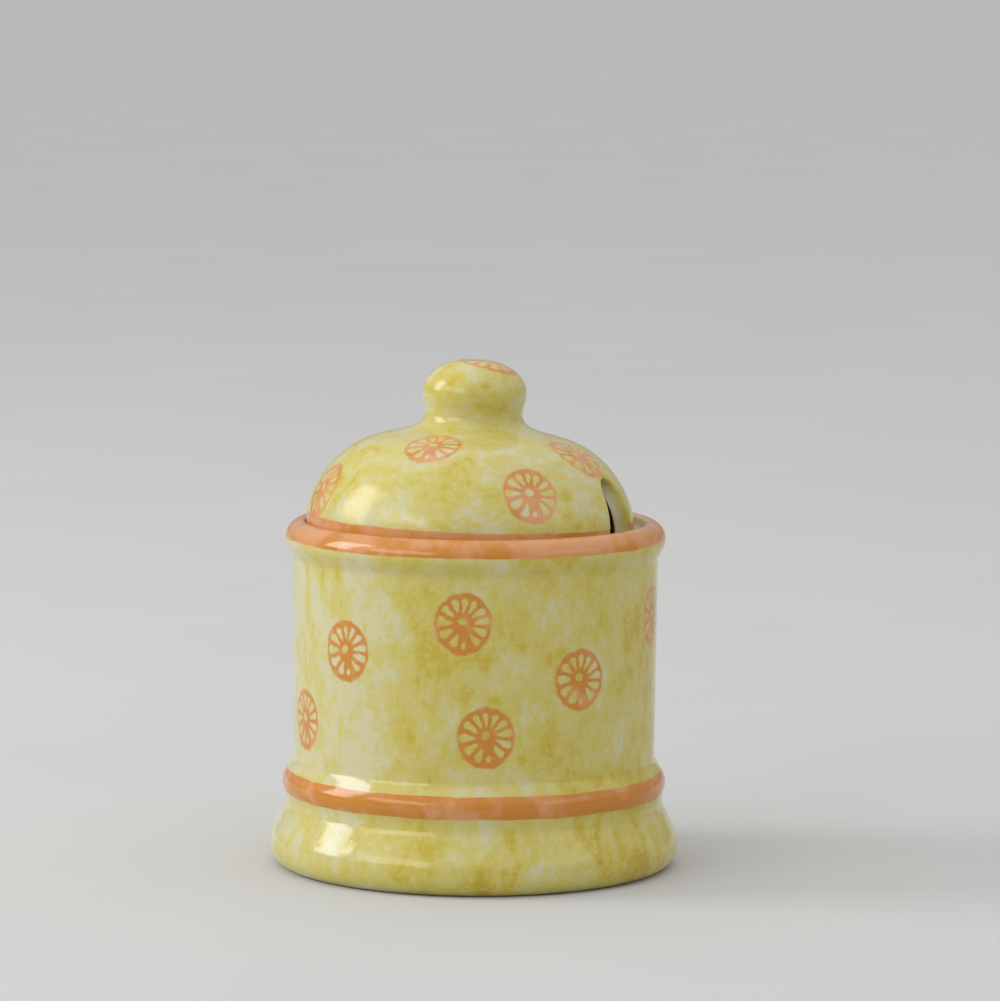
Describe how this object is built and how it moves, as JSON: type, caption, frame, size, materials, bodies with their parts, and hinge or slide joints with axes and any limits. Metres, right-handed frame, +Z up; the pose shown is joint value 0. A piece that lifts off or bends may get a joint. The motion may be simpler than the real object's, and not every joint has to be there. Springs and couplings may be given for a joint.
{
  "type": "jam pot",
  "caption": "Round ceramic jam pot with a flared foot, raised belt and rolled lip; a domed lid with a drum knob and a spoon notch rests in the lip's gallery.",
  "frame": {"origin": "centre of the foot ring, on the surface the pot stands on", "axes": "+Z up along the pot's axis; -Y towards the viewer; the lid's notch faces between +X and -Y"},
  "size_m": [0.0974, 0.0974, 0.1202],
  "materials": {
    "glaze": "glossy clear glaze over sponged yellow with painted orange bands and stamped rosettes"
  },
  "bodies": {
    "root": {"pot": "glaze", "lid": "glaze"}
  },
  "joints": []
}
